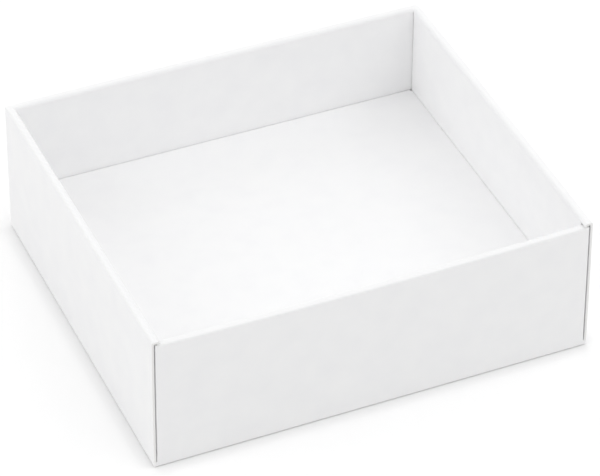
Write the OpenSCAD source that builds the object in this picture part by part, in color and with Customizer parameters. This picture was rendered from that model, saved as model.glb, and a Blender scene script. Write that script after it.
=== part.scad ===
// Open gift tray folded from one sheet of thick white board. Every wall is rolled over a soft
// rim into an outer and an inner layer, the side walls hide the corner flaps, and lock tabs on
// the inner layers sit in slots in the base. The front rim stands a little lower and passes
// under the ends of the side rims. A second folded sheet stands inside as a raised floor and
// lifts out. Millimetres, Z up, the origin is the centre of the underside, the front faces -Y
// and the width runs along X.

/* [Tray] */
// Outside width, left to right
box_w = 300; // [220:5:400]
// Outside depth, front to back
box_d = 264; // [200:1:360]
// Outside height
box_h = 100; // [70:1:160]
// How far the front rim stands below the other three
front_drop = 3; // [3:0.5:8]

/* [Board and rims] */
// Thickness of the board, the same in both sheets
board_t = 1.5; // [1:0.1:2]
// Inside radius of the two soft folds along each rim
rim_bend = 0.7; // [0.2:0.1:0.7]
// Outside radius of every other fold, which is creased sharp
crease_r = 0.4; // [0.3:0.1:1]
// Room on each side of a corner flap inside a hollow wall, which is also the corner slit
flap_slack = 0.5; // [0.3:0.1:1]

/* [Corners] */
// Height of the uncut web at the foot of each corner slit
web_h = 3.5; // [2.5:0.5:8]
// How far the back wall ends stay below the folds of the side rims
rim_slit = 1.5; // [0.2:0.1:2]
// Hairline between each end of the back rim and the side rim
rim_gap = 0.1; // [0.1:0.1:0.5]
// Seam between the inner walls in each inside corner
seam_gap = 0.4; // [0.1:0.1:1]
// Length of the flaps that fold from the front and back walls into the side walls
flap_l = 70; // [30:1:85]
// How far each long edge of a corner flap slopes in by its free end
flap_slope = 8; // [2:1:15]

/* [Lock tabs] */
// Length of each lock tab along its wall
tab_l = 32; // [15:1:45]
// Height of the tab ends above the underside
tab_rise = 0.2; // [0.1:0.1:0.5]
// How far each end of a tab slopes in
tab_lead = 0.8; // [0.2:0.1:2]
// Clearance round a tab in its slot
slot_clear = 0.3; // [0.1:0.1:0.5]

/* [Raised floor] */
// Height of the raised floor above the underside of the tray
floor_h = 33; // [20:1:45]
// Clearance all round between the raised floor and the inner walls
floor_clear = 0.5; // [0.3:0.1:2]
// Length of the glue tabs inside its corners
glue_tab_l = 25; // [10:1:40]
// How far each long edge of a glue tab slopes in by its free end
glue_tab_slope = 4; // [1:0.5:6]

/* [Hidden] */

// Finish of both sheets and smoothness of every round fold
tray_white = "#f3f3f1";
floor_white = "#f7f7f5";
$fn = 48;

// Overrun of every cut past the face it opens
cut_over = 1;

// A wall is an outer layer, a hollow that takes one flap with its slack, and an inner layer
wall_t = 3 * board_t + 2 * flap_slack;
rim_r = board_t + rim_bend;
// Height where the layers of a wall end and the folds of its rim begin
rim_z = box_h - rim_r;
front_rim_z = rim_z - front_drop;
// The front corner flaps stand as high as the top of the front rim
front_flap_z = front_rim_z + rim_r;
// Top of the back wall ends that pass under the side rims
ear_z = rim_z - rim_slit;

half_w = box_w / 2;
half_d = box_d / 2;
// Half length of the back rim, which ends at the side rims
back_rim_half = half_w - wall_t - rim_gap;
// Where the front and back outer walls turn into their corner flaps
flap_fold_x = half_w - 2 * board_t - flap_slack;
// Face of the inner layer that looks into the hollow, from the outside of the wall
inner_face = wall_t - board_t;
// The front and back inner walls reach behind the ends of the side ones
long_inner_half = half_w - inner_face;
side_inner_half = half_d - wall_t - seam_gap;
// Places of the two lock tabs, as shares of an inner wall's half length
tab_place_shares = [-0.54, 0.54];

// Outline of the raised floor and height of its panel's underside
floor_half_w = half_w - wall_t - floor_clear;
floor_half_d = half_d - wall_t - floor_clear;
skirt_z = floor_h - board_t;

// What is drawn for the front, with its outer face on y = 0, is set on each side of the box
module at_front(reach) translate([0, -reach, 0]) children();
module at_back(reach) mirror([0, 1, 0]) at_front(reach) children();
module at_right(reach) rotate([0, 0, 90]) at_front(reach) children();
module at_left(reach) mirror([1, 0, 0]) at_right(reach) children();

// A flat panel of board: its outline in x and z, its outer face at y_face
module panel(y_face) {
    translate([0, y_face + board_t, 0])
        rotate([90, 0, 0])
            linear_extrude(height = board_t) children();
}

// A section in y and z run along x, centred
module run_along(length) {
    rotate([90, 0, 90])
        linear_extrude(height = length, center = true) children();
}

// A symmetric outline from the points of its right half, bottom to top
function both_halves(right) =
    concat(right, [for (i = [len(right) - 1 : -1 : 0]) [-right[i][0], right[i][1]]]);

// Section of a creased right-angled fold with its round outside towards the origin
module fold_section() {
    intersection() {
        union() {
            translate([crease_r, crease_r]) circle(r = crease_r);
            translate([crease_r, 0]) square(board_t);
            translate([0, crease_r]) square(board_t);
        }
        square(board_t);
    }
}

// The fold at the foot of an outer wall
module foot_fold(half_length) {
    run_along(2 * half_length) fold_section();
}

// Section of the sheet's corner under a slit: the fold at its foot, then straight up
module web_section() {
    fold_section();
    translate([0, board_t]) square([board_t, web_h - board_t]);
}

// Corner of the sheet under a corner slit, rounded below and towards both walls
module corner_web() {
    translate([half_w - board_t, 0, 0])
        intersection() {
            upright_fold(0, web_h);
            run_along(2 * board_t) web_section();
            translate([board_t, 0, 0])
                rotate([0, 0, 90]) run_along(2 * board_t) web_section();
        }
}

// The fold that turns a wall round a corner of the box, from its start at x = 0
module upright_fold(foot_z, top_z) {
    translate([board_t, 0, foot_z])
        mirror([1, 0, 0])
            linear_extrude(height = top_z - foot_z) fold_section();
}

// Front and back: the wall closes the corner feet, above them its right edge has these points
module long_outer_wall(right_edge) {
    color(tray_white) {
        panel(0)
            polygon(both_halves(concat([
                [half_w - board_t, board_t],
                [half_w - board_t, web_h],
                [flap_fold_x, web_h]
            ], right_edge)));
        foot_fold(half_w - board_t);
        corner_web();
        mirror([1, 0, 0]) corner_web();
    }
}

// Left and right: above the webs the wall runs out to the front and back faces as a raw edge
module side_outer_wall() {
    color(tray_white) {
        panel(0)
            polygon(both_halves([
                [half_d - board_t, board_t],
                [half_d - board_t, web_h],
                [half_d, web_h],
                [half_d, rim_z]
            ]));
        foot_fold(half_d - board_t);
    }
}

// The space under a rim whose two folds have this radius
module arch(radius) {
    intersection() {
        union() {
            for (y = [rim_r, wall_t - rim_r]) {
                translate([y, rim_z]) circle(r = radius);
            }
            translate([rim_r, rim_z]) square([wall_t - 2 * rim_r, radius]);
        }
        translate([0, rim_z]) square([wall_t, rim_r]);
    }
}

// A rolled rim: two soft folds with a narrow flat between them
module rim_section() {
    difference() {
        arch(rim_r);
        arch(rim_bend);
    }
}

module rolled_rim(half_length) {
    color(tray_white) run_along(2 * half_length) rim_section();
}

// Room for a side rim along its wall, with the hairline on its round towards the box
module side_rim_room() {
    run_along(box_d + 2 * cut_over) {
        translate([wall_t - rim_r, rim_z]) circle(r = rim_r + rim_gap);
        translate([0, rim_z]) square([wall_t - rim_r, rim_r + cut_over]);
    }
}

// One lock tab hanging from z = board_t, with sloped ends
module lock_tab_outline() {
    polygon(both_halves([
        [tab_l / 2 - tab_lead, tab_rise],
        [tab_l / 2, board_t]
    ]));
}

// An inner wall hangs from its rim, stands on the base and locks into it with its tabs
module inner_wall(half_length, top_z) {
    color(tray_white)
        panel(inner_face)
            union() {
                translate([-half_length, board_t]) square([2 * half_length, top_z - board_t]);
                for (share = tab_place_shares) {
                    translate([share * half_length, 0]) lock_tab_outline();
                }
            }
}

// Slots in the base for the lock tabs of one inner wall
module tab_slots(half_length) {
    for (share = tab_place_shares) {
        translate([
            share * half_length - tab_l / 2 - slot_clear,
            inner_face - slot_clear,
            -cut_over
        ])
            cube([
                tab_l + 2 * slot_clear,
                board_t + 2 * slot_clear,
                board_t + 2 * cut_over
            ]);
    }
}

// A flap turned in from the right-hand end of a wall: its fold and a tapered leaf
module turned_in_flap(fold_x, foot_z, top_z, length, slope) {
    translate([fold_x, 0, 0]) {
        upright_fold(foot_z, top_z);
        rotate([90, 0, 90])
            linear_extrude(height = board_t)
                polygon([
                    [board_t, foot_z],
                    [board_t + length, foot_z + slope],
                    [board_t + length, top_z - slope],
                    [board_t, top_z]
                ]);
    }
}

module corner_flap(top_z) {
    color(tray_white) turned_in_flap(flap_fold_x, web_h, top_z, flap_l, flap_slope);
}

// Skirt of the raised floor: a strip with the fold that joins it to the panel
module floor_skirt(half_length, fold_half) {
    color(floor_white) {
        translate([-half_length, 0, board_t]) cube([2 * half_length, board_t, skirt_z - board_t]);
        translate([0, 0, floor_h]) mirror([0, 0, 1]) foot_fold(fold_half);
    }
}

module glue_tab() {
    color(floor_white)
        turned_in_flap(floor_half_w - 2 * board_t, board_t, skirt_z, glue_tab_l, glue_tab_slope);
}

// The tray sheet
module base_panel() {
    color(tray_white)
        difference() {
            translate([board_t - half_w, board_t - half_d, 0])
                cube([box_w - 2 * board_t, box_d - 2 * board_t, board_t]);
            at_front(half_d) tab_slots(long_inner_half);
            at_back(half_d) tab_slots(long_inner_half);
            at_left(half_w) tab_slots(side_inner_half);
            at_right(half_w) tab_slots(side_inner_half);
        }
}

// The front wall runs straight up to its rim, the back wall steps down under the side rims
module front_outer_wall() {
    at_front(half_d) long_outer_wall([[flap_fold_x, front_rim_z]]);
}
module back_outer_wall() {
    at_back(half_d)
        long_outer_wall([
            [flap_fold_x, ear_z],
            [back_rim_half, ear_z],
            [back_rim_half, rim_z]
        ]);
}
module left_outer_wall() at_left(half_w) side_outer_wall();
module right_outer_wall() at_right(half_w) side_outer_wall();

// The side rims run whole over the ends of the front and back walls, and the ends of the back
// rim are cut to their round
module front_rim() at_front(half_d) translate([0, 0, -front_drop]) rolled_rim(flap_fold_x);
module back_rim() {
    difference() {
        at_back(half_d) rolled_rim(half_w - rim_r);
        at_left(half_w) side_rim_room();
        at_right(half_w) side_rim_room();
    }
}
module left_rim() at_left(half_w) rolled_rim(half_d);
module right_rim() at_right(half_w) rolled_rim(half_d);

module front_inner_wall() at_front(half_d) inner_wall(long_inner_half, front_rim_z);
module back_inner_wall() at_back(half_d) inner_wall(long_inner_half, rim_z);
module left_inner_wall() at_left(half_w) inner_wall(side_inner_half, rim_z);
module right_inner_wall() at_right(half_w) inner_wall(side_inner_half, rim_z);

module front_right_corner_flap() at_front(half_d) corner_flap(front_flap_z);
module front_left_corner_flap() mirror([1, 0, 0]) front_right_corner_flap();
module back_right_corner_flap() at_back(half_d) corner_flap(ear_z);
module back_left_corner_flap() mirror([1, 0, 0]) back_right_corner_flap();

// The raised floor sheet
module raised_floor_panel() {
    color(floor_white)
        translate([board_t - floor_half_w, board_t - floor_half_d, skirt_z])
            cube([2 * (floor_half_w - board_t), 2 * (floor_half_d - board_t), board_t]);
}

module floor_front_skirt() {
    at_front(floor_half_d) floor_skirt(floor_half_w - 2 * board_t, floor_half_w - board_t);
}
module floor_back_skirt() {
    at_back(floor_half_d) floor_skirt(floor_half_w - 2 * board_t, floor_half_w - board_t);
}
module floor_left_skirt() at_left(floor_half_w) floor_skirt(floor_half_d, floor_half_d - board_t);
module floor_right_skirt() at_right(floor_half_w) floor_skirt(floor_half_d, floor_half_d - board_t);

module floor_front_right_glue_tab() at_front(floor_half_d) glue_tab();
module floor_front_left_glue_tab() mirror([1, 0, 0]) floor_front_right_glue_tab();
module floor_back_right_glue_tab() at_back(floor_half_d) glue_tab();
module floor_back_left_glue_tab() mirror([1, 0, 0]) floor_back_right_glue_tab();

base_panel();
front_outer_wall();
back_outer_wall();
left_outer_wall();
right_outer_wall();
front_rim();
back_rim();
left_rim();
right_rim();
front_inner_wall();
back_inner_wall();
left_inner_wall();
right_inner_wall();
front_left_corner_flap();
front_right_corner_flap();
back_left_corner_flap();
back_right_corner_flap();
raised_floor_panel();
floor_front_skirt();
floor_back_skirt();
floor_left_skirt();
floor_right_skirt();
floor_front_left_glue_tab();
floor_front_right_glue_tab();
floor_back_left_glue_tab();
floor_back_right_glue_tab();
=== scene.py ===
import math

import bmesh
import bpy
from mathutils import Matrix, Quaternion, Vector, geometry


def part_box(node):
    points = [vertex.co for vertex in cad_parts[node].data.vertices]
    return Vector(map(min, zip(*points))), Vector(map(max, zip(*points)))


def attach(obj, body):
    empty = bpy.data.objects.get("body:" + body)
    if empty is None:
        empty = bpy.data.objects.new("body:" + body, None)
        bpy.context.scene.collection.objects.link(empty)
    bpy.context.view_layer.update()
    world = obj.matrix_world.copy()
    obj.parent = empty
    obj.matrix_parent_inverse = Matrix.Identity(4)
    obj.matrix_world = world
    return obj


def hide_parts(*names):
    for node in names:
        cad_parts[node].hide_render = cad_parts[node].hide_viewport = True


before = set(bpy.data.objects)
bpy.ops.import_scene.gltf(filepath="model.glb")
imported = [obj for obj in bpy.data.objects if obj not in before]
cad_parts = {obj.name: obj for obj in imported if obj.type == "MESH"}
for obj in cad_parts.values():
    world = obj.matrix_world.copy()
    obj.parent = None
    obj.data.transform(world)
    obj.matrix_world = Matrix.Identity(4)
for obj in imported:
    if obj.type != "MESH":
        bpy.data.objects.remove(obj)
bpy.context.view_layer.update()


# Viewpoint of the photograph: a long lens on a 36 mm wide sensor, well above the tray and to the
# left of its front. The place, aim and roll come from fitting the straight edges of the tray.
MM = 0.001
CAMERA_PLACE = (-687.11, -1590.2, 1420.23)
CAMERA_AIM = (-1.53, -15.85, 50.0)
CAMERA_ROLL = 0.228
LENS = 203.16
SENSOR = 36

place = Vector(CAMERA_PLACE) * MM
sight = Vector(CAMERA_AIM) * MM - place
camera = bpy.data.objects.new("camera", bpy.data.cameras.new("camera"))
camera.location = place
camera.rotation_mode = "QUATERNION"
camera.rotation_quaternion = (
    (-sight).to_track_quat("Z", "Y") @ Quaternion((0, 0, 1), math.radians(CAMERA_ROLL))
)
camera.data.lens = LENS
camera.data.sensor_width = SENSOR
camera.data.sensor_fit = "HORIZONTAL"
camera.data.clip_start = 0.05
camera.data.clip_end = 50
bpy.context.scene.collection.objects.link(camera)
bpy.context.scene.camera = camera


# Studio: a white paper sweep in an evenly lit white tent, with four large round softboxes: behind,
# on the right, high in front on the right, and on the left, which is the brightest. They leave
# only a thin soft shadow at the foot of the tray.
GROUND_WIDTH = 7.0
GROUND_WHITE = "#F6F6F6"
GROUND_SHADE = "#F4F4F4"
PAPER_CLOUDS = 9.0
# The gap under the tray in millimetres, and how much the camera sees the sweep lifted off the foot
# of the tray and far away, at these distances in metres
GROUND_GAP = 0.6
GROUND_LIFT = 0.12
SHADOW_REACH = 0.012
SHADOW_OPENS = 0.65
FAR_LIFT = 0.4
FAR_STARTS = 0.6
FAR_ENDS = 2.0
DOME_LIGHT = 0.657
# Softboxes: direction clockwise from behind and height in degrees, and light on the tray in W/m2
SOFTBOXES = {
    "back_softbox": (0, 35, 0.477),
    "right_softbox": (90, 35, 0.405),
    "front_right_softbox": (140, 56, 0.465),
    "left_softbox": (270, 35, 0.545),
}
SOFTBOX_DISTANCE = 3.0
SOFTBOX_SPREAD = 50


def to_linear(hex_colour):
    """An sRGB hex colour as linear RGBA."""
    channels = [int(hex_colour[i : i + 2], 16) / 255 for i in (1, 3, 5)]
    return [c / 12.92 if c <= 0.04045 else ((c + 0.055) / 1.055) ** 2.4 for c in channels] + [1]


def add_node(tree, kind, settings=None, inputs=()):
    """Adds a node with its settings, and with its inputs by name or in order: each is a value, a
    socket to link, or a node, of which the first output is linked."""
    node = tree.nodes.new(kind)
    for key, value in (settings or {}).items():
        setattr(node, key, value)
    for key, value in inputs.items() if isinstance(inputs, dict) else enumerate(inputs):
        if isinstance(value, bpy.types.Node):
            value = value.outputs[0]
        if isinstance(value, bpy.types.NodeSocket):
            tree.links.new(value, node.inputs[key])
        else:
            node.inputs[key].default_value = value
    return node


def new_material(name):
    """An empty node material and its tree."""
    material = bpy.data.materials.new(name)
    material.use_nodes = True
    material.node_tree.nodes.clear()
    return material, material.node_tree


# Uncoated sweep paper, matt and evenly white, with the faint cloudiness of its pulp
paper, tree = new_material("sweep_paper")
place_on_paper = add_node(tree, "ShaderNodeTexCoord")
clouds = add_node(
    tree,
    "ShaderNodeTexNoise",
    None,
    {"Vector": place_on_paper.outputs["Object"], "Scale": PAPER_CLOUDS},
)
paper_tone = add_node(
    tree,
    "ShaderNodeMix",
    {"data_type": "RGBA"},
    {"Factor": clouds, "A": to_linear(GROUND_SHADE), "B": to_linear(GROUND_WHITE)},
)
paper_surface = add_node(
    tree,
    "ShaderNodeBsdfPrincipled",
    None,
    {
        "Base Color": paper_tone.outputs["Result"],
        "Roughness": 0.95,
        "Specular IOR Level": 0.1,
    },
)
# The camera sees the sweep a little lifted, and more lifted far off, so that it runs out to
# white, but not close to the foot of the tray, where it keeps its shadow
open_sky = add_node(
    tree, "ShaderNodeAmbientOcclusion", {"samples": 16}, {"Distance": SHADOW_REACH}
)
lift = add_node(
    tree,
    "ShaderNodeMapRange",
    None,
    {
        "Value": open_sky.outputs["AO"],
        "From Min": SHADOW_OPENS,
        "From Max": 1.0,
        "To Max": GROUND_LIFT,
    },
)
away = add_node(
    tree, "ShaderNodeVectorMath", {"operation": "LENGTH"}, (place_on_paper.outputs["Object"],)
)
far_lift = add_node(
    tree,
    "ShaderNodeMapRange",
    None,
    {
        "Value": away.outputs["Value"],
        "From Min": FAR_STARTS,
        "From Max": FAR_ENDS,
        "To Max": FAR_LIFT,
    },
)
both_lifts = add_node(tree, "ShaderNodeMath", {"operation": "ADD"}, (lift, far_lift))
lifted = add_node(
    tree, "ShaderNodeEmission", None, {"Color": (1, 1, 1, 1), "Strength": both_lifts}
)
seen_paper = add_node(tree, "ShaderNodeAddShader", None, (paper_surface, lifted))
ray = add_node(tree, "ShaderNodeLightPath")
paper_shown = add_node(
    tree, "ShaderNodeMixShader", None, (ray.outputs["Is Camera Ray"], paper_surface, seen_paper)
)
add_node(tree, "ShaderNodeOutputMaterial", None, {"Surface": paper_shown})

half = GROUND_WIDTH / 2
ground_mesh = bpy.data.meshes.new("ground")
ground_mesh.from_pydata(
    [(-half, -half, 0), (half, -half, 0), (half, half, 0), (-half, half, 0)], [], [(0, 1, 2, 3)]
)
ground_mesh.materials.append(paper)
ground = bpy.data.objects.new("ground", ground_mesh)
ground.location = (0, 0, -GROUND_GAP * MM)
bpy.context.scene.collection.objects.link(ground)

world = bpy.data.worlds.new("dome")
world.use_nodes = True
bpy.context.scene.world = world
tree = world.node_tree
tree.nodes.clear()
ray = add_node(tree, "ShaderNodeLightPath")
seen = add_node(
    tree,
    "ShaderNodeMath",
    {"operation": "MAXIMUM"},
    (ray.outputs["Is Camera Ray"], ray.outputs["Is Transmission Ray"]),
)
seen_or_mirrored = add_node(
    tree, "ShaderNodeMath", {"operation": "MAXIMUM"}, (seen, ray.outputs["Is Glossy Ray"])
)
dome = add_node(
    tree, "ShaderNodeBackground", None, {"Color": (1, 1, 1, 1), "Strength": DOME_LIGHT}
)
backdrop = add_node(
    tree, "ShaderNodeBackground", None, {"Color": (1, 1, 1, 1), "Strength": 1.0}
)
sky = add_node(tree, "ShaderNodeMixShader", None, (seen_or_mirrored, dome, backdrop))
add_node(tree, "ShaderNodeOutputWorld", None, {"Surface": sky})

for name, (around, height, light) in SOFTBOXES.items():
    around, height = math.radians(around), math.radians(height)
    towards = Vector(
        (
            math.cos(height) * math.sin(around),
            math.cos(height) * math.cos(around),
            math.sin(height),
        )
    )
    lamp_data = bpy.data.lights.new(name, "AREA")
    lamp_data.shape = "DISK"
    lamp_data.size = 2 * SOFTBOX_DISTANCE * math.tan(math.radians(SOFTBOX_SPREAD / 2))
    # Power of an evenly bright disk that gives this light at its distance
    lamp_data.energy = light * math.pi * (SOFTBOX_DISTANCE**2 + (lamp_data.size / 2) ** 2)
    lamp = bpy.data.objects.new(name, lamp_data)
    lamp.location = towards * SOFTBOX_DISTANCE
    lamp.rotation_mode = "QUATERNION"
    lamp.rotation_quaternion = towards.to_track_quat("Z", "Y")
    bpy.context.scene.collection.objects.link(lamp)

bpy.context.scene.view_settings.view_transform = "Standard"


# Base panel: the bottom of the tray sheet, thick white-lined solid board, die-cut with a slot for
# each lock tab. Its four edges are not cut: the outer walls fold up from them.
BOARD = 1.5
TAB_LENGTH = 32.0
TAB_SHARE = 0.54
SLOT_CLEARANCE = 0.3
LINER, CUT = 0, 1
LINER_WHITE = "#F9F9F9"
LINER_SHADE = "#F5F5F6"
# Painted shade: the crest of each rolled rim is multiplied by this tone, a touch darker, against
# the stronger light the rims catch
RIM_CREST_PAINTED_SHADE = "#FDFDFD"
CUT_PALE = "#F5F5F4"
CUT_GREY = "#ECECEA"
# Patterns of the board: repeats in a metre, the thickness of a ply in millimetres, and how much
# the fibres and the plies add to the tone
PULP_CLOUDS = 62.0
FIBRES = 1250.0
FIBRE_SHARE = 0.35
EDGE_FUR = 1600.0
PLY = 0.25
PLY_SHARE = 0.18
# Mesh of a board: the round of its cut edges, its steps, how far its points keep off an edge and
# when two are one, in millimetres, and the angle from which an edge stays crisp
NIP = 0.12
GRID_STEP = 7.0
EDGE_CLEARANCE = 0.7
SAME_PLACE = 1e-4
SHARP_ANGLE = 35
# How the set-up tray stands: its height, and in millimetres how its corners lean in at the top,
# its walls bow out and the loose back ends of its side rims hang
TOP = 100.0
CORNER_LEAN = {
    (-1, -1): (0.9, 0.3, 0.0),
    (1, -1): (-0.9, 0.4, 0.0),
    (-1, 1): (0.55, -0.4, -0.3),
    (1, 1): (-0.1, -0.1, 0.0),
}
BOW = {"front": 0.3, "back": 0.1, "left": -0.1, "right": 0.4}
LEAN_POWER = 1.5
END_DROOP = 1.3
END_REACH = 9.0


def coated_liner(name, white, shade, roll=None):
    """Clay-coated white liner of folding board, calendered smooth: matt with a soft sheen, the
    pulp under it clouded over a centimetre or two, and its fibres barely raised. Over the crest
    of a roll of this width it carries painted shade, a touch darker, against the strong light
    there."""
    material, tree = new_material(name)
    spot = add_node(tree, "ShaderNodeTexCoord").outputs["Object"]
    # Clouds of the pulp, about 16 mm across
    pulp = add_node(
        tree,
        "ShaderNodeTexNoise",
        None,
        {"Vector": spot, "Scale": PULP_CLOUDS, "Detail": 3.0, "Roughness": 0.5},
    )
    # Fibres are 0.3 mm wide, drawn at 0.8 mm so that they show
    fibre = add_node(
        tree,
        "ShaderNodeTexNoise",
        None,
        {"Vector": spot, "Scale": FIBRES, "Detail": 2.0, "Roughness": 0.6},
    )
    mottle = add_node(
        tree, "ShaderNodeMath", {"operation": "MULTIPLY_ADD"}, (fibre, FIBRE_SHARE, pulp)
    )
    spread = add_node(
        tree, "ShaderNodeMapRange", None, {"Value": mottle, "From Min": 0.35, "From Max": 1.0}
    )
    colour = add_node(
        tree,
        "ShaderNodeMix",
        {"data_type": "RGBA"},
        {"Factor": spread, "A": to_linear(shade), "B": to_linear(white)},
    ).outputs["Result"]
    if roll:
        # Painted shade: over the middle half of the roll, its crest, the colour is made a touch
        # darker
        on_board = add_node(tree, "ShaderNodeUVMap", {"uv_map": "board"})
        across = add_node(tree, "ShaderNodeSeparateXYZ", None, (on_board,)).outputs["Y"]
        off_crest = add_node(tree, "ShaderNodeMath", {"operation": "ABSOLUTE"}, (across,))
        crest_painted_shade = add_node(
            tree,
            "ShaderNodeMapRange",
            {"interpolation_type": "SMOOTHSTEP"},
            {"Value": off_crest, "From Min": roll * MM / 2, "From Max": roll * MM / 4},
        )
        colour = add_node(
            tree,
            "ShaderNodeMix",
            {"data_type": "RGBA", "blend_type": "MULTIPLY"},
            {"Factor": crest_painted_shade, "A": colour, "B": to_linear(RIM_CREST_PAINTED_SHADE)},
        ).outputs["Result"]
    polish = add_node(
        tree, "ShaderNodeMapRange", None, {"Value": pulp, "To Min": 0.66, "To Max": 0.8}
    )
    # The board is calendered flat, with a lift of a few hundredths of a millimetre over 16 mm
    cockle = add_node(
        tree, "ShaderNodeBump", None, {"Height": pulp, "Strength": 0.5, "Distance": 0.06 * MM}
    )
    nap = add_node(
        tree,
        "ShaderNodeBump",
        None,
        {"Height": fibre, "Strength": 0.35, "Distance": 0.02 * MM, "Normal": cockle},
    )
    surface = add_node(
        tree,
        "ShaderNodeBsdfPrincipled",
        None,
        {
            "Base Color": colour,
            "Roughness": polish,
            "IOR": 1.5,
            "Specular IOR Level": 0.3,
            "Normal": nap,
        },
    )
    add_node(tree, "ShaderNodeOutputMaterial", None, {"Surface": surface})
    return material


def cut_board_edge(name):
    """Die-cut edge of solid board: uncoated, a little greyer than the liner, with its pressed
    plies running along it and a furry, quite matt surface."""
    material, tree = new_material(name)
    on_edge = add_node(tree, "ShaderNodeUVMap", {"uv_map": "board"})
    depth = add_node(tree, "ShaderNodeSeparateXYZ", None, (on_edge,)).outputs["Y"]
    # Six plies in the thickness
    turn = add_node(
        tree, "ShaderNodeMath", {"operation": "MULTIPLY"}, (depth, 2 * math.pi / (PLY * MM))
    )
    ply = add_node(tree, "ShaderNodeMath", {"operation": "SINE"}, (turn,))
    spot = add_node(tree, "ShaderNodeTexCoord").outputs["Object"]
    fur = add_node(
        tree, "ShaderNodeTexNoise", None, {"Vector": spot, "Scale": EDGE_FUR, "Detail": 3.0}
    )
    mixed = add_node(
        tree,
        "ShaderNodeMath",
        {"operation": "MULTIPLY_ADD", "use_clamp": True},
        (ply, PLY_SHARE, fur),
    )
    tone = add_node(
        tree,
        "ShaderNodeMix",
        {"data_type": "RGBA"},
        {"Factor": mixed, "A": to_linear(CUT_GREY), "B": to_linear(CUT_PALE)},
    )
    rough = add_node(
        tree, "ShaderNodeMapRange", None, {"Value": fur, "To Min": 0.9, "To Max": 1.0}
    )
    raised = add_node(
        tree, "ShaderNodeBump", None, {"Height": mixed, "Strength": 0.5, "Distance": 0.04 * MM}
    )
    surface = add_node(
        tree,
        "ShaderNodeBsdfPrincipled",
        None,
        {
            "Base Color": tone.outputs["Result"],
            "Roughness": rough,
            "Specular IOR Level": 0.15,
            "Normal": raised,
        },
    )
    add_node(tree, "ShaderNodeOutputMaterial", None, {"Surface": surface})
    return material


def box_of(node):
    """Lowest and highest corner of a CAD node, in millimetres."""
    low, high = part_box(node)
    return low / MM, high / MM


def split_outline(outline, rows):
    """Cuts the edges of an outline of (u, v, raw) corners where they cross a row, and then to
    short steps. Every point keeps whether the edge that starts there is a raw cut edge."""
    points = []
    for i, (u, v, raw) in enumerate(outline):
        u2, v2, _ = outline[(i + 1) % len(outline)]
        shares = {0.0}
        for row in rows:
            if min(v, v2) + 1e-6 < row < max(v, v2) - 1e-6:
                shares.add((row - v) / (v2 - v))
        stops = sorted(shares) + [1.0]
        for a, b in zip(stops, stops[1:]):
            count = max(1, math.ceil((b - a) * math.hypot(u2 - u, v2 - v) / GRID_STEP))
            for k in range(count):
                s = a + (b - a) * k / count
                points.append((u + s * (u2 - u), v + s * (v2 - v), raw))
    return points


def nipped(points):
    """The same outline with its raw edges moved in by the small round of a cut edge."""
    moved = []
    for i, (u, v, raw) in enumerate(points):
        u0, v0, raw0 = points[i - 1]
        u2, v2, _ = points[(i + 1) % len(points)]
        before = Vector((u - u0, v - v0)).normalized()
        after = Vector((u2 - u, v2 - v)).normalized()
        n0 = Vector((-before.y, before.x)) * (NIP if raw0 else 0)
        n1 = Vector((-after.y, after.x)) * (NIP if raw else 0)
        turn = before.cross(after)
        if abs(turn) < 1e-4:
            shift = n1 if n1.length > n0.length else n0
        else:
            shift = n0 + before * ((n1 - n0).cross(after) / turn)
        moved.append(Vector((u + shift.x, v + shift.y)))
    return moved


def row_levels(border, rows):
    """Heights of the lowest point of a board, of its rows and of its highest point."""
    lowest = min(p.y for p in border)
    levels = sorted(set(rows))
    if not levels or levels[0] > lowest:
        levels.insert(0, lowest)
    return [*levels, max(p.y for p in border)]


def grid_within(border, levels):
    """Points inside a board, on its rows and a grid step apart, that keep off its edges."""
    left, right = min(p.x for p in border), max(p.x for p in border)
    columns = max(1, round((right - left) / GRID_STEP))
    heights = []
    for a, b in zip(levels, levels[1:]):
        count = max(1, round((b - a) / GRID_STEP))
        heights += [a + (b - a) * k / count for k in range(count)]
    grid = []
    for v in heights[1:]:
        for k in range(1, columns):
            p = Vector((left + (right - left) * k / columns, v))
            if all((p - q).length > EDGE_CLEARANCE for q in border):
                grid.append(p)
    return grid


def within_box(p, loop):
    """Whether a flat point lies in the box round a loop of points."""
    us, vs = [q.x for q in loop], [q.y for q in loop]
    return min(us) < p.x < max(us) and min(vs) < p.y < max(vs)


def add_skins(sheet, verts, faces, fold):
    """Folds the faces of a flat board twice, as its show side and its back."""
    uv = sheet.loops.layers.uv["board"]
    skins = [[sheet.verts.new(fold(p.x, p.y, side)) for p in verts] for side in (0, 1)]
    for face in faces:
        for side, ring in enumerate((face, face[::-1])):
            made = sheet.faces.new([skins[side][i] for i in ring])
            made.material_index = LINER
            made.smooth = True
            for loop, i in zip(made.loops, ring):
                loop[uv].uv = (verts[i].x * MM, verts[i].y * MM)
    return skins


def add_edge(sheet, points, show, back, fold):
    """Joins the two skins of a board along an edge, with a small round beside each of them."""
    uv = sheet.loops.layers.uv["board"]
    depths = [0, NIP, BOARD - NIP, BOARD]
    rings = [show]
    for share in (NIP / BOARD, 1 - NIP / BOARD):
        rings.append(
            [sheet.verts.new(fold(u, v, 0).lerp(fold(u, v, 1), share)) for u, v, _ in points]
        )
    rings.append(back)
    run = 0.0
    for i, (u, v, raw) in enumerate(points):
        j = (i + 1) % len(points)
        end = run + math.hypot(points[j][0] - u, points[j][1] - v)
        for k in range(3):
            corners = [rings[k][i], rings[k + 1][i], rings[k + 1][j], rings[k][j]]
            if len(set(corners)) < 4:
                continue
            strip = sheet.faces.new(corners)
            strip.material_index = CUT if raw else LINER
            strip.smooth = False
            near, far = depths[k], depths[k + 1]
            for loop, (a, b) in zip(
                strip.loops, [(run, near), (run, far), (end, far), (end, near)]
            ):
                loop[uv].uv = (a * MM, b * MM)
        run = end


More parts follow.
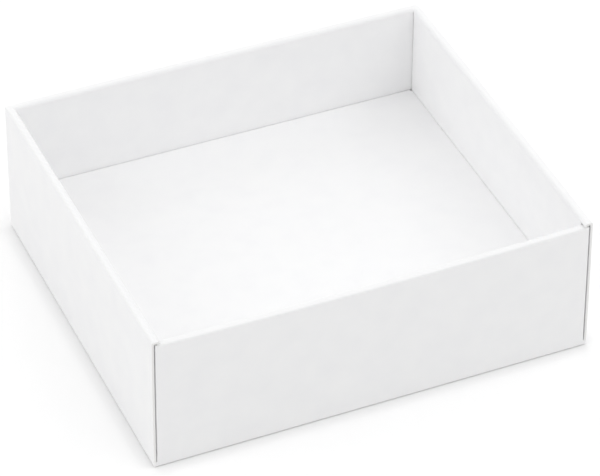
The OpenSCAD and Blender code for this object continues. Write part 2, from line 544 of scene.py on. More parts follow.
def cut_board(sheet, outline, fold, holes=(), rows=()):
    """Cuts a flat outline with holes from board and folds it: fold(u, v, side) gives the place
    of a point of the show side (0) or the back (1). It is added to the sheet, a bmesh."""
    loops = [split_outline(loop, rows) for loop in (outline, *holes)]
    flat, edges, starts = [], [], []
    for points in loops:
        start = len(flat)
        flat += nipped(points)
        edges += [(start + i, start + (i + 1) % len(points)) for i in range(len(points))]
        starts.append(start)
    levels = row_levels(flat, rows)
    flat += grid_within(flat, levels)
    # No face crosses a row, so that the board bends along its rows alone
    for level in levels:
        row = [i for i, p in enumerate(flat) if abs(p.y - level) < SAME_PLACE]
        row.sort(key=lambda i: flat[i].x)
        edges += list(zip(row, row[1:]))
    verts, _, faces, sources = geometry.delaunay_2d_cdt(flat, edges, [], 2, 1e-5)[:4]
    index = {old: new for new, olds in enumerate(sources) for old in olds}
    cut_out = [flat[s : s + len(points)] for s, points in zip(starts[1:], loops[1:])]
    kept = []
    for face in faces:
        middle = sum((verts[i] for i in face), Vector((0, 0))) / len(face)
        if not any(within_box(middle, loop) for loop in cut_out):
            kept.append(face)
    skins = add_skins(sheet, verts, kept, fold)
    for start, points in zip(starts, loops):
        show, back = ([skin[index[start + i]] for i in range(len(points))] for skin in skins)
        add_edge(sheet, points, show, back, fold)


def new_sheet():
    """An empty piece of board with its developed UV map."""
    sheet = bmesh.new()
    sheet.loops.layers.uv.new("board")
    return sheet


def settle(p):
    """How the set-up tray stands, in millimetres: its top corners lean in a little, each by its
    own amount, and the walls bow out between them. The foot stays where it is."""
    across, deep = p.x / half_w, p.y / half_d
    shift = Vector((0, 0, 0))
    for (side_x, side_y), lean in CORNER_LEAN.items():
        share = (1 + side_x * across) / 2 * (1 + side_y * deep) / 2
        shift += share * Vector(lean)
    bow_x = BOW["right"] if across > 0 else BOW["left"]
    bow_y = BOW["back"] if deep > 0 else BOW["front"]
    shift.x += bow_x * across * (1 - deep**2)
    shift.y += bow_y * deep * (1 - across**2)
    # The free back ends of the side rims hang a little, and draw the corner of the back rim down
    near_back = max(0.0, 1 - (half_d - p.y) / END_REACH)
    near_side = max(0.0, 1 - (half_w - abs(p.x)) / (2 * END_REACH))
    above = max(0.0, (p.z - ear_z) / (TOP - ear_z))
    shift.z -= END_DROOP * (near_back * near_side) ** 2 * above
    return p + shift * max(p.z / TOP, 0) ** LEAN_POWER


def mark_sharp(sheet):
    """Keeps the corners of cut edges crisp and lets the folds shade round."""
    for edge in sheet.edges:
        faces = edge.link_faces
        if len(faces) != 2:
            continue
        crisp = edge.calc_face_angle(0) > math.radians(SHARP_ANGLE)
        if crisp or faces[0].smooth != faces[1].smooth:
            edge.smooth = False


def set_up(node, sheet, mesh, placing, blank, shape):
    """Sets a folded piece in its place, as it stands there, and hands it to its body."""
    bmesh.ops.transform(sheet, matrix=placing, verts=sheet.verts)
    for vert in sheet.verts:
        vert.co = shape(vert.co) * MM
    bmesh.ops.recalc_face_normals(sheet, faces=sheet.faces)
    mark_sharp(sheet)
    sheet.to_mesh(mesh)
    sheet.free()
    piece = bpy.data.objects.new(f"{node}_board", mesh)
    bpy.context.scene.collection.objects.link(piece)
    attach(piece, blank["body"])
    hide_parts(node)


def finish_board(node, sheet, placing, blank, shape=settle):
    """Cleans the seams of a piece that was cut and folded, and sets it up on the tray."""
    bmesh.ops.remove_doubles(sheet, verts=sheet.verts, dist=SAME_PLACE)
    bmesh.ops.dissolve_degenerate(sheet, edges=sheet.edges, dist=SAME_PLACE)
    mesh = bpy.data.meshes.new(f"{node}_board")
    mesh.materials.append(blank["liner"])
    mesh.materials.append(cut_edge)
    set_up(node, sheet, mesh, placing, blank, shape)


def flat_at(outer, inner):
    """A fold that only lays the board flat, with its show side at one height."""
    return lambda u, v, side: Vector((u, v, inner if side else outer))


def slot_at(u, v, across):
    """Outline of one lock tab slot, clockwise, as a raw cut hole."""
    long, short = TAB_LENGTH / 2 + SLOT_CLEARANCE, BOARD / 2 + SLOT_CLEARANCE
    du, dv = (short, long) if across else (long, short)
    return [
        (u - du, v - dv, True),
        (u - du, v + dv, True),
        (u + du, v + dv, True),
        (u + du, v - dv, True),
    ]


def panel_outline(low, high):
    """Outline of a flat panel that is folded on along all four of its edges."""
    return [
        (low.x, low.y, False),
        (high.x, low.y, False),
        (high.x, high.y, False),
        (low.x, high.y, False),
    ]


cut_edge = cut_board_edge("die_cut_board_edge")
tray_sheet = {
    "body": "tray",
    "slot": "tray_board",
    "liner": coated_liner("coated_board_liner", LINER_WHITE, LINER_SHADE),
}
half_w = -box_of("left_outer_wall")[0].x
half_d = -box_of("front_outer_wall")[0].y
wall = box_of("left_rim")[1].x + half_w
inner_face = wall - BOARD
long_inner_half = box_of("front_inner_wall")[1].x
side_inner_half = box_of("left_inner_wall")[1].y
ear_z = box_of("back_left_corner_flap")[1].z

slots = []
for share in (-TAB_SHARE, TAB_SHARE):
    for end in (-1, 1):
        slots.append(
            slot_at(share * long_inner_half, end * (half_d - inner_face - BOARD / 2), False)
        )
        slots.append(
            slot_at(end * (half_w - inner_face - BOARD / 2), share * side_inner_half, True)
        )
sheet = new_sheet()
cut_board(sheet, panel_outline(*box_of("base_panel")), flat_at(0.0, BOARD), slots)
finish_board("base_panel", sheet, Matrix(), tray_sheet)


# Outer walls: the outer layer of each side, folded up from the base over a creased foot. The side
# walls run out to the front and back faces as raw edges, beside the slits of the corners.
CREASE = 0.4
RIM_HAIRLINE = 0.04
FOLD_STEPS = 6
STRAIGHT = BOARD - CREASE
ARC = 2 * STRAIGHT + CREASE * math.pi / 2
# How the front wall hangs in its middle and springs up at its ends, and how its slits open
FRONT_RISE = (-1.55, 0.1)
SLIT_GAP = 0.35
SLIT_OPENS = 6.0

web_z = box_of("front_left_corner_flap")[0].z
flap_fold_x = -box_of("front_left_corner_flap")[1].x
rim_z = box_of("left_outer_wall")[1].z
front_rim_z = box_of("front_outer_wall")[1].z
back_rim_half = half_w - wall - RIM_HAIRLINE
crease_rows = [STRAIGHT + CREASE * math.pi / 2 * k / FOLD_STEPS for k in range(FOLD_STEPS + 1)]
foot_rows = [*crease_rows, ARC]


def front_settle(p):
    """How the front wall stands: as the others do, but its loose rim hangs between its ends,
    which spring up, and these keep a little off the raw edges of the side walls."""
    across = p.x / half_w
    settled = settle(p)
    settled.z += (FRONT_RISE[0] + (FRONT_RISE[1] - FRONT_RISE[0]) * across**2) * p.z / TOP
    opened = min(1.0, max(0.0, (p.z - web_z) / SLIT_OPENS))
    settled.x -= SLIT_GAP * opened * across**3
    return settled


def stance(side):
    """How one side of the tray stands: the front hangs in its own way."""
    return front_settle if side == "front" else settle


def set_at(side, reach):
    """Placing of what is drawn for the front, with its outer face on y = 0, on one side."""
    front = Matrix.Translation((0, -reach, 0))
    if side == "front":
        return front
    if side == "back":
        return Matrix.Scale(-1, 4, (0, 1, 0)) @ front
    right = Matrix.Rotation(math.radians(90), 4, "Z") @ front
    if side == "right":
        return right
    return Matrix.Scale(-1, 4, (1, 0, 0)) @ right


def crease(run):
    """Round the outside of a sharp crease between two boards: the distance from the outer face
    of the second board, and from that of the first, at this length from where it starts."""
    if run < STRAIGHT:
        return BOARD - run, 0.0
    turn = (run - STRAIGHT) / CREASE
    if turn < math.pi / 2:
        return CREASE * (1 - math.sin(turn)), CREASE * (1 - math.cos(turn))
    return 0.0, BOARD - (ARC - run)


def folded_foot(u, v, side):
    """Up a wall from its foot: the crease turns a quarter round, then the wall stands straight."""
    if v < ARC:
        y, z = (BOARD, BOARD) if side else crease(v)
        return Vector((u, y, z))
    return Vector((u, BOARD if side else 0.0, v - ARC + BOARD))


def up(z):
    """The length along a folded wall, from the start of its crease, at which it is z high."""
    return z - BOARD + ARC


def both_halves(right, raw_foot):
    """A symmetric outline from its right half, bottom to top, anticlockwise, and from whether
    its foot is a raw edge."""
    raws = [raw_foot] + [raw for _, _, raw in right[:-1]]
    left = [(-u, v, raw) for (u, v, _), raw in zip(right, raws)]
    return right + left[::-1]


def corner_web(sheet, end):
    """The uncut corner of the sheet under a slit: pressed round, its raw top closing the slit."""
    levels = [crease(run)[::-1] for run in crease_rows]
    levels += [(web_z - NIP, 0.0), (web_z, NIP)]
    points = [(0.0, BOARD, 0.0), (0.0, BOARD, web_z)]
    for z, inset in levels:
        points += [(0.0, inset, z), (BOARD - inset, BOARD, z)]
        radius = max(CREASE - inset, 0.0)
        for k in range(FOLD_STEPS + 1):
            turn = math.pi / 2 * k / FOLD_STEPS
            points.append(
                (STRAIGHT + radius * math.sin(turn), CREASE - radius * math.cos(turn), z)
            )
    block = new_sheet()
    for x, y, z in points:
        block.verts.new((end * (half_w - BOARD + x), y, z))
    bmesh.ops.remove_doubles(block, verts=block.verts, dist=SAME_PLACE)
    bmesh.ops.convex_hull(block, input=block.verts)
    loose = [vert for vert in block.verts if not vert.link_faces]
    bmesh.ops.delete(block, geom=loose, context="VERTS")
    uv = block.loops.layers.uv["board"]
    for face in block.faces:
        face.smooth = True
        face.material_index = CUT if face.normal.z > 0.5 else LINER
        for loop in face.loops:
            loop[uv].uv = (loop.vert.co.x * MM, loop.vert.co.y * MM)
    mesh = bpy.data.meshes.new("corner_web")
    block.to_mesh(mesh)
    block.free()
    sheet.from_mesh(mesh)
    bpy.data.meshes.remove(mesh)


wall_tops = {
    "front": [(flap_fold_x, up(front_rim_z), False)],
    "back": [
        (flap_fold_x, up(ear_z), True),
        (back_rim_half, up(ear_z), True),
        (back_rim_half, up(rim_z), False),
    ],
}
for side, top in wall_tops.items():
    right = [
        (half_w - BOARD, 0.0, False),
        (half_w - BOARD, up(web_z), True),
        (flap_fold_x, up(web_z), False),
        *top,
    ]
    sheet = new_sheet()
    cut_board(sheet, both_halves(right, False), folded_foot, rows=foot_rows)
    corner_web(sheet, 1)
    corner_web(sheet, -1)
    finish_board(f"{side}_outer_wall", sheet, set_at(side, half_d), tray_sheet, stance(side))
for side in ("left", "right"):
    right = [
        (half_d - BOARD, 0.0, False),
        (half_d - BOARD, up(web_z), True),
        (half_d, up(web_z), True),
        (half_d, up(rim_z), False),
    ]
    sheet = new_sheet()
    cut_board(sheet, both_halves(right, False), folded_foot, rows=foot_rows)
    finish_board(f"{side}_outer_wall", sheet, set_at(side, half_w), tray_sheet)


# Inner walls: the inner layer of each side, hanging from its rim down to the base, with raw ends
# in the corners and two tapered lock tabs that seat in the slots of the base.
TAB_LEAD = 0.8
tab_low = box_of("front_inner_wall")[0].z


def tab_points(centre):
    """One lock tab at the foot of an inner wall, left to right."""
    half_tab = TAB_LENGTH / 2
    return [
        (centre - half_tab, BOARD, True),
        (centre - half_tab + TAB_LEAD, tab_low, True),
        (centre + half_tab - TAB_LEAD, tab_low, True),
        (centre + half_tab, BOARD, True),
    ]


def hung_wall(u, v, side):
    """An inner wall hangs flat, its show side towards the inside of the tray."""
    return Vector((u, inner_face if side else wall, v))


for side, half_length, top_z, reach in (
    ("front", long_inner_half, front_rim_z, half_d),
    ("back", long_inner_half, rim_z, half_d),
    ("left", side_inner_half, rim_z, half_w),
    ("right", side_inner_half, rim_z, half_w),
):
    outline = [
        (-half_length, BOARD, True),
        *tab_points(-TAB_SHARE * half_length),
        *tab_points(TAB_SHARE * half_length),
        (half_length, BOARD, True),
        (half_length, top_z, False),
        (-half_length, top_z, True),
    ]
    sheet = new_sheet()
    cut_board(sheet, outline, hung_wall)
    finish_board(f"{side}_inner_wall", sheet, set_at(side, reach), tray_sheet, stance(side))


# Rims: the board rolls over two soft folds from each outer wall to its inner wall. The side rims
# run whole to the front and back faces, over the ends of the lower front rim and of the back outer
# wall, and the back rim's ends are cut to their round. One rule makes all four.
RIM_BEND = 0.7
OUTER_FOLD_EASE = 0.55
# How far the roll sags where it is uneven, its waves in a metre, and the mesh along and across it
RIM_UNEVENNESS = 0.05
RIM_WAVES = 30.0
RIM_SEED = 3.0
RIM_COLUMN = 1.1
RIM_ROWS = 37
# The arithmetic node and its settings
MATH = "ShaderNodeMath"
ADD = {"operation": "ADD"}
SUBTRACT = {"operation": "SUBTRACT"}
MULTIPLY = {"operation": "MULTIPLY"}
DIVIDE = {"operation": "DIVIDE"}
MULTIPLY_ADD = {"operation": "MULTIPLY_ADD"}
MINIMUM = {"operation": "MINIMUM"}
MAXIMUM = {"operation": "MAXIMUM"}
SINE = {"operation": "SINE"}
COSINE = {"operation": "COSINE"}
SQUARE_ROOT = {"operation": "SQRT"}
POWER = {"operation": "POWER"}


def named_inputs(tree, inputs):
    """Adds the group inputs of a tree by name, with a value or none where each piece gives its
    own, and returns the identifiers of their sockets."""
    made = {}
    for name, (kind, value) in inputs.items():
        socket = tree.interface.new_socket(name, in_out="INPUT", socket_type=kind)
        if value is not None:
            socket.default_value = value
        made[name] = socket.identifier
    tree.interface.new_socket("Geometry", in_out="OUTPUT", socket_type="NodeSocketGeometry")
    return made


def fall_of_round(tree, radius, reach):
    """How far a round of this radius has fallen off at this reach from its crest."""
    radius_squared = add_node(tree, MATH, MULTIPLY, (radius, radius))
    reach_squared = add_node(tree, MATH, MULTIPLY, (reach, reach))
    difference = add_node(tree, MATH, SUBTRACT, (radius_squared, reach_squared))
    not_past = add_node(tree, MATH, MAXIMUM, (difference, 0.0))
    height = add_node(tree, MATH, SQUARE_ROOT, (not_past,))
    return add_node(tree, MATH, SUBTRACT, (radius, height))


def lay_board(tree, strip, uv, place, other_face, liner, raw):
    """Lays a flat strip of board in its place and closes it with its other face, given as a
    place for each of its points, and with raw board on its cut edges."""
    mapped = add_node(
        tree,
        "GeometryNodeStoreNamedAttribute",
        {"data_type": "FLOAT2", "domain": "CORNER"},
        {"Geometry": strip, "Name": "board", "Value": uv},
    )
    faced = add_node(
        tree,
        "GeometryNodeStoreNamedAttribute",
        {"data_type": "FLOAT_VECTOR", "domain": "POINT"},
        {"Geometry": mapped, "Name": "other_face", "Value": other_face},
    )
    laid = add_node(
        tree, "GeometryNodeSetPosition", None, {"Geometry": faced, "Position": place}
    )
    smooth = add_node(
        tree,
        "GeometryNodeSetShadeSmooth",
        {"domain": "FACE"},
        {"Geometry": laid, "Shade Smooth": True},
    )
    skin = add_node(
        tree, "GeometryNodeSetMaterial", None, {"Geometry": smooth, "Material": liner}
    )
    grown = add_node(
        tree,
        "GeometryNodeExtrudeMesh",
        {"mode": "FACES"},
        {"Mesh": skin, "Offset Scale": 0.0, "Individual": False},
    )
    kept_place = add_node(
        tree,
        "GeometryNodeInputNamedAttribute",
        {"data_type": "FLOAT_VECTOR"},
        {"Name": "other_face"},
    )
    spread = add_node(
        tree,
        "GeometryNodeSetPosition",
        None,
        {"Geometry": grown, "Selection": grown.outputs["Top"], "Position": kept_place},
    )
    edged = add_node(
        tree,
        "GeometryNodeSetMaterial",
        None,
        {"Geometry": spread, "Selection": grown.outputs["Side"], "Material": raw},
    )
    sharp = add_node(
        tree,
        "GeometryNodeSetShadeSmooth",
        {"domain": "FACE"},
        {"Geometry": edged, "Selection": grown.outputs["Side"], "Shade Smooth": False},
    )
    back = add_node(tree, "GeometryNodeFlipFaces", None, {"Mesh": skin})
    both = add_node(tree, "GeometryNodeJoinGeometry", None, {0: back})
    tree.links.new(sharp.outputs[0], both.inputs[0])
    whole = add_node(
        tree, "GeometryNodeMergeByDistance", None, {"Geometry": both, "Distance": 1e-6}
    )
    real = add_node(tree, "GeometryNodeRealizeInstances", None, {"Geometry": whole})
    add_node(tree, "NodeGroupOutput", None, (real,))


def rolled_rim_tree():
    """Rule for a rolled rim along X. Its outer face is on y = 0 and its folds start at z = 0."""
    tree = bpy.data.node_groups.new("rolled_rim", "GeometryNodeTree")
    sockets = named_inputs(
        tree,
        {
            "Length": ("NodeSocketFloat", None),
            "Board": ("NodeSocketFloat", BOARD * MM),
            "Bend": ("NodeSocketFloat", RIM_BEND * MM),
            "Wall": ("NodeSocketFloat", wall * MM),
            "Outer fold": ("NodeSocketFloat", OUTER_FOLD_EASE),
            "Columns": ("NodeSocketInt", None),
            "Rows": ("NodeSocketInt", RIM_ROWS),
            "Unevenness": ("NodeSocketFloat", RIM_UNEVENNESS * MM),
            "Seed": ("NodeSocketFloat", RIM_SEED),
            "End round": ("NodeSocketFloat", None),
            "Liner": ("NodeSocketMaterial", None),
            "Cut edge": ("NodeSocketMaterial", None),
        },
    )
    given = add_node(tree, "NodeGroupInput").outputs
    bend = given["Bend"]
    # The strip, as long as the board round the section: a quarter round, a flat, a quarter round
    quarter = add_node(tree, MATH, MULTIPLY, (bend, math.pi / 2))
    outer_bend = add_node(tree, MATH, ADD, (bend, given["Board"]))
    both_bends = add_node(tree, MATH, MULTIPLY, (outer_bend, 2.0))
    flat = add_node(tree, MATH, SUBTRACT, (given["Wall"], both_bends))
    developed = add_node(tree, MATH, MULTIPLY_ADD, (quarter, 2.0, flat))
    strip = add_node(
        tree,
        "GeometryNodeMeshGrid",
        None,
        {
            "Size X": given["Length"],
            "Size Y": developed,
            "Vertices X": given["Columns"],
            "Vertices Y": given["Rows"],
        },
    )
    place = add_node(tree, "GeometryNodeInputPosition")
    here = add_node(tree, "ShaderNodeSeparateXYZ", None, (place,)).outputs
    # How far each fold has turned, and how much of the flat is laid
    along = add_node(tree, MATH, MULTIPLY_ADD, (developed, 0.5, here["Y"]))
    turned = add_node(tree, MATH, DIVIDE, (along, bend))
    first = add_node(tree, MATH, MINIMUM, (turned, math.pi / 2))
    past_first = add_node(tree, MATH, SUBTRACT, (along, quarter))
    on_flat = add_node(tree, MATH, MAXIMUM, (past_first, 0.0))
    level = add_node(tree, MATH, MINIMUM, (on_flat, flat))
    past_flat = add_node(tree, MATH, ADD, (quarter, flat))
    into_second = add_node(tree, MATH, SUBTRACT, (along, past_flat))
    turned_again = add_node(tree, MATH, DIVIDE, (into_second, bend))
    second = add_node(tree, MATH, MAXIMUM, (turned_again, 0.0))
    first_sine = add_node(tree, MATH, SINE, (first,))
    first_cosine = add_node(tree, MATH, COSINE, (first,))
    second_sine = add_node(tree, MATH, SINE, (second,))
    second_cosine = add_node(tree, MATH, COSINE, (second,))
    # The inside of the roll, a little uneven along its length, most at its crest
    start = add_node(tree, MATH, ADD, (outer_bend, level))
    drop = add_node(tree, MATH, SUBTRACT, (second_cosine, 1.0))
    sway = add_node(tree, MATH, SUBTRACT, (second_sine, first_cosine))
    y = add_node(tree, MATH, MULTIPLY_ADD, (sway, bend, start))
    rise = add_node(tree, MATH, ADD, (first_sine, drop))
    even_z = add_node(tree, MATH, MULTIPLY, (rise, bend))
    on_seed = add_node(tree, "ShaderNodeCombineXYZ", None, (here["X"], given["Seed"]))
    waves = add_node(
        tree,
        "ShaderNodeTexNoise",
        {"noise_dimensions": "2D"},
        {"Vector": on_seed, "Scale": RIM_WAVES, "Detail": 1.0},
    )
    depth = add_node(tree, MATH, MULTIPLY, (waves, given["Unevenness"]))
    sag = add_node(tree, MATH, MULTIPLY, (depth, rise))
    z = add_node(tree, MATH, SUBTRACT, (even_z, sag))

    def tightened(turned):
        """The outer fold was creased before it was rolled, so its outside turns more tightly."""
        not_under = add_node(tree, MATH, MAXIMUM, (turned, 0.0))
        return add_node(tree, MATH, POWER, (not_under, given["Outer fold"]))

    sway_outside = add_node(tree, MATH, SUBTRACT, (second_sine, tightened(first_cosine)))
    y_outside = add_node(tree, MATH, MULTIPLY_ADD, (sway_outside, outer_bend, start))
    rise_outside = add_node(tree, MATH, ADD, (tightened(first_sine), drop))
    even_z_outside = add_node(tree, MATH, MULTIPLY, (rise_outside, outer_bend))
    z_outside = add_node(tree, MATH, SUBTRACT, (even_z_outside, sag))

    def reaching(height):
        """Where a point lies along the rim, with ends that follow the round of the side rims."""
        past_end = fall_of_round(tree, given["End round"], height)
        half_length = add_node(tree, MATH, MULTIPLY, (given["Length"], 0.5))
        stretch = add_node(tree, MATH, DIVIDE, (past_end, half_length))
        return add_node(tree, MATH, MULTIPLY_ADD, (here["X"], stretch, here["X"]))

    inside = add_node(tree, "ShaderNodeCombineXYZ", None, (reaching(z), y, z))
    outside = add_node(
        tree, "ShaderNodeCombineXYZ", None, (reaching(z_outside), y_outside, z_outside)
    )
    lay_board(tree, strip, place, inside, outside, given["Liner"], given["Cut edge"])
    return tree, sockets


def run_rule(name, tree, sockets, values):
    """Runs a node tree on a new object with these input values and returns the plain mesh."""
    carrier = bpy.data.objects.new(name, bpy.data.meshes.new(name))
    bpy.context.scene.collection.objects.link(carrier)
    rule = carrier.modifiers.new("rule", "NODES")
    rule.node_group = tree
    for key, value in values.items():
        rule[sockets[key]] = value
    graph = bpy.context.evaluated_depsgraph_get()
    mesh = bpy.data.meshes.new_from_object(
        carrier.evaluated_get(graph), preserve_all_data_layers=True, depsgraph=graph
    )
    bpy.data.objects.remove(carrier)
    return mesh


def place_board(node, mesh, placing, blank, shape):
    """Sets up a piece of board that a rule has made."""
    sheet = bmesh.new()
    sheet.from_mesh(mesh)
    bmesh.ops.transform(sheet, matrix=Matrix.Scale(1 / MM, 4), verts=sheet.verts)
    mesh.name = f"{node}_board"
    set_up(node, sheet, mesh, placing, blank, shape)


roll_width = math.pi * RIM_BEND + wall - 2 * (RIM_BEND + BOARD)
# The rims' liner carries painted shade over the crest of each roll
rim_liner_with_painted_shade = coated_liner("rolled_board_liner_painted_shade", LINER_WHITE, LINER_SHADE, roll_width)
rim_tree, rim_sockets = rolled_rim_tree()
rims = {
    "front": (half_d, front_rim_z),
    "back": (half_d, rim_z),
    "left": (half_w, rim_z),
    "right": (half_w, rim_z),
}
for number, (side, (reach, foot)) in enumerate(rims.items()):
    low, high = box_of(f"{side}_rim")
    length = high.x - low.x if side == "front" else high.y - low.y
    end_round = 0.0
    if side == "back":
        length = 2 * back_rim_half
        end_round = RIM_BEND + BOARD + RIM_HAIRLINE
    mesh = run_rule(
        f"{side}_rim_roll",
        rim_tree,
        rim_sockets,
        {
            "Length": length * MM,
            "Columns": round(length / RIM_COLUMN) + 1,
            "Seed": RIM_SEED + 10.0 * number,
            "End round": end_round * MM,
            "Liner": rim_liner_with_painted_shade,
            "Cut edge": cut_edge,
        },
    )
    placing = set_at(side, reach) @ Matrix.Translation((0, 0, foot))
    place_board(f"{side}_rim", mesh, placing, tray_sheet, stance(side))


# Corner flaps: at each upright fold the board of the front or back wall turns a quarter round and
# ends in a tapered leaf with rounded corners, tucked into a hollow side wall.
FLAP_SLOPE = 8.0
FLAP_CORNER = 5.0
FLAP_COLUMNS = 72
FLAP_ROWS = 24


def turned_flap_tree():
    """Rule for a turned-in flap. The fold's outside starts at the origin and turns from +X to
    +Y, and the leaf then runs along +Y. Z is the height, from 0 to Height."""
    tree = bpy.data.node_groups.new("turned_in_flap", "GeometryNodeTree")
    sockets = named_inputs(
        tree,
        {
            "Length": ("NodeSocketFloat", None),
            "Height": ("NodeSocketFloat", None),
            "Slope": ("NodeSocketFloat", FLAP_SLOPE * MM),
            "Corner": ("NodeSocketFloat", FLAP_CORNER * MM),
            "Board": ("NodeSocketFloat", BOARD * MM),
            "Crease": ("NodeSocketFloat", CREASE * MM),
            "Columns": ("NodeSocketInt", FLAP_COLUMNS),
            "Rows": ("NodeSocketInt", FLAP_ROWS),
            "Liner": ("NodeSocketMaterial", None),
            "Cut edge": ("NodeSocketMaterial", None),
        },
    )
    given = add_node(tree, "NodeGroupInput").outputs
    # The crease: a short straight, a tight quarter round, and the leaf from there
    straight = add_node(tree, MATH, SUBTRACT, (given["Board"], given["Crease"]))
    round_end = add_node(tree, MATH, MULTIPLY_ADD, (given["Crease"], math.pi / 2, straight))
    fold_end = add_node(tree, MATH, ADD, (round_end, straight))
    developed = add_node(tree, MATH, ADD, (fold_end, given["Length"]))
    strip = add_node(
        tree,
        "GeometryNodeMeshGrid",
        None,
        {
            "Size X": 1.0,
            "Size Y": 1.0,
            "Vertices X": given["Columns"],
            "Vertices Y": given["Rows"],
        },
    )
    place = add_node(tree, "GeometryNodeInputPosition")
    here = add_node(tree, "ShaderNodeSeparateXYZ", None, (place,)).outputs
    # Columns lie closer together in the fold and at the rounded corners
    share = add_node(tree, MATH, ADD, (here["X"], 0.5))
    half_turn = add_node(tree, MATH, MULTIPLY, (share, math.pi))
    swing = add_node(tree, MATH, COSINE, (half_turn,))
    eased = add_node(tree, MATH, MULTIPLY_ADD, (swing, -0.5, 0.5))
    along = add_node(tree, MATH, MULTIPLY, (eased, developed))
    # How far the fold has turned, and how much of the leaf is laid
    into_round = add_node(tree, MATH, SUBTRACT, (along, straight))
    turned = add_node(tree, MATH, DIVIDE, (into_round, given["Crease"]))
    not_under = add_node(tree, MATH, MAXIMUM, (turned, 0.0))
    turn = add_node(tree, MATH, MINIMUM, (not_under, math.pi / 2))
    after_round = add_node(tree, MATH, SUBTRACT, (along, round_end))
    past_round = add_node(tree, MATH, MAXIMUM, (after_round, 0.0))
    after_fold = add_node(tree, MATH, SUBTRACT, (past_round, straight))
    leaf = add_node(tree, MATH, MAXIMUM, (after_fold, 0.0))
    # The long edges slope in, and the free corners are rounded
    leaf_share = add_node(tree, MATH, DIVIDE, (leaf, given["Length"]))
    taper = add_node(tree, MATH, MULTIPLY, (leaf_share, given["Slope"]))
    corner_start = add_node(tree, MATH, SUBTRACT, (given["Length"], given["Corner"]))
    after_start = add_node(tree, MATH, SUBTRACT, (leaf, corner_start))
    into_corner = add_node(tree, MATH, MAXIMUM, (after_start, 0.0))
    rounded = fall_of_round(tree, given["Corner"], into_corner)
    one_edge = add_node(tree, MATH, ADD, (taper, rounded))
    both_edges = add_node(tree, MATH, MULTIPLY, (one_edge, 2.0))
    narrowed = add_node(tree, MATH, SUBTRACT, (given["Height"], both_edges))
    half_height = add_node(tree, MATH, MULTIPLY, (given["Height"], 0.5))
    # The show side turns round the crease, and the back keeps one board behind the fold
    z = add_node(tree, MATH, MULTIPLY_ADD, (here["Y"], narrowed, half_height))
    sine = add_node(tree, MATH, SINE, (turn,))
    on_straight = add_node(tree, MATH, MINIMUM, (along, straight))
    x = add_node(tree, MATH, MULTIPLY_ADD, (sine, given["Crease"], on_straight))
    cosine = add_node(tree, MATH, COSINE, (turn,))
    fall = add_node(tree, MATH, SUBTRACT, (1.0, cosine))
    y = add_node(tree, MATH, MULTIPLY_ADD, (fall, given["Crease"], past_round))
    back_y = add_node(tree, MATH, MAXIMUM, (y, given["Board"]))
    uv = add_node(tree, "ShaderNodeCombineXYZ", None, (along, z))
    show = add_node(tree, "ShaderNodeCombineXYZ", None, (x, y, z))
    back = add_node(tree, "ShaderNodeCombineXYZ", None, (0.0, back_y, z))
    lay_board(tree, strip, uv, show, back, given["Liner"], given["Cut edge"])
    return tree, sockets


def add_flap(end, side, node, reach, fold_x, slope, corner, blank, shape):
    """Turns in one flap at an end of a wall or skirt, mirrored for the left one."""
    low, high = box_of(node)
    mesh = run_rule(
        node,
        flap_tree,
        flap_sockets,
        {
            "Length": (high.y - low.y - BOARD) * MM,
            "Height": (high.z - low.z) * MM,
            "Slope": slope * MM,
            "Corner": corner * MM,
            "Liner": blank["liner"],
            "Cut edge": cut_edge,
        },
    )
    placing = set_at(end, reach) @ Matrix.Translation((fold_x, 0, low.z))
    if side == "left":
        placing = Matrix.Scale(-1, 4, (1, 0, 0)) @ placing
    place_board(node, mesh, placing, blank, shape)


flap_tree, flap_sockets = turned_flap_tree()
for end in ("front", "back"):
    for side in ("left", "right"):
        add_flap(
            end,
            side,
            f"{end}_{side}_corner_flap",
            half_d,
            flap_fold_x,
            FLAP_SLOPE,
            FLAP_CORNER,
            tray_sheet,
            stance(end),
        )


# Raised floor: a second folded sheet. Its panel is the show face on which the goods lie. Its
# skirts fold down from soft creases and stand on the base, held square by glue tabs, which turn in
# from the front and back skirts behind the side ones.
FLOOR_WHITE = "#FAFAFA"
FLOOR_SHADE = "#F6F6F7"
GLUE_TAB_SLOPE = 4.0
GLUE_TAB_CORNER = 3.0
# How the loose floor lies: moved and turned a little, and sunk at its creases
FLOOR_SHIFT = Vector((0.38, 0.2, 0))
FLOOR_SKEW = 0.08
FLOOR_SINK = 0.6

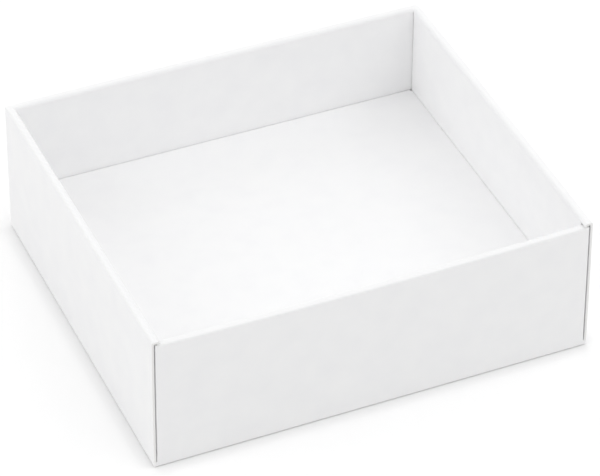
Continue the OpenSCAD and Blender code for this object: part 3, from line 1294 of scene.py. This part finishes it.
floor_sheet = {
    "body": "raised_floor",
    "slot": "floor_board",
    "liner": coated_liner("coated_floor_liner", FLOOR_WHITE, FLOOR_SHADE),
}
floor_low, floor_high = box_of("raised_floor_panel")
skirt_half_w = -box_of("floor_left_skirt")[0].x
skirt_half_d = -box_of("floor_front_skirt")[0].y
skirt_z = floor_low.z
head_rows = [skirt_z, *(skirt_z + run for run in crease_rows)]


def floor_settle(p):
    """The loose floor lies where it was dropped in, along the right wall and near the back one,
    and the creases of its skirts give a little under it."""
    settled = p + FLOOR_SHIFT
    settled.x += FLOOR_SKEW * p.y / half_d
    settled.z -= FLOOR_SINK * (p.z - BOARD) / (floor_high.z - BOARD)
    return settled


def folded_head(u, v, side):
    """Down a skirt from the panel is up from its foot here: straight, then round to the panel."""
    if v > skirt_z:
        below, y = (BOARD, BOARD) if side else crease(v - skirt_z)
        return Vector((u, y, skirt_z + BOARD - below))
    return Vector((u, BOARD if side else 0.0, v))


sheet = new_sheet()
cut_board(sheet, panel_outline(floor_low, floor_high), flat_at(floor_high.z, floor_low.z))
finish_board("raised_floor_panel", sheet, Matrix(), floor_sheet, floor_settle)
for side in ("front", "back", "left", "right"):
    # The front and back skirts end at the folds of their tabs, the side ones in raw edges
    if side in ("front", "back"):
        reach, head = skirt_half_d, skirt_half_w - BOARD
        foot = [(head - BOARD, BOARD, False), (head - BOARD, skirt_z, True)]
    else:
        reach, head = skirt_half_w, skirt_half_d - BOARD
        foot = [(skirt_half_d, BOARD, True), (skirt_half_d, skirt_z, True)]
    right = [*foot, (head, skirt_z, True), (head, skirt_z + ARC, False)]
    sheet = new_sheet()
    cut_board(sheet, both_halves(right, True), folded_head, rows=head_rows)
    finish_board(f"floor_{side}_skirt", sheet, set_at(side, reach), floor_sheet, floor_settle)
for end in ("front", "back"):
    for side in ("left", "right"):
        add_flap(
            end,
            side,
            f"floor_{end}_{side}_glue_tab",
            skirt_half_d,
            skirt_half_w - 2 * BOARD,
            GLUE_TAB_SLOPE,
            GLUE_TAB_CORNER,
            floor_sheet,
            floor_settle,
        )


bpy.context.view_layer.update()
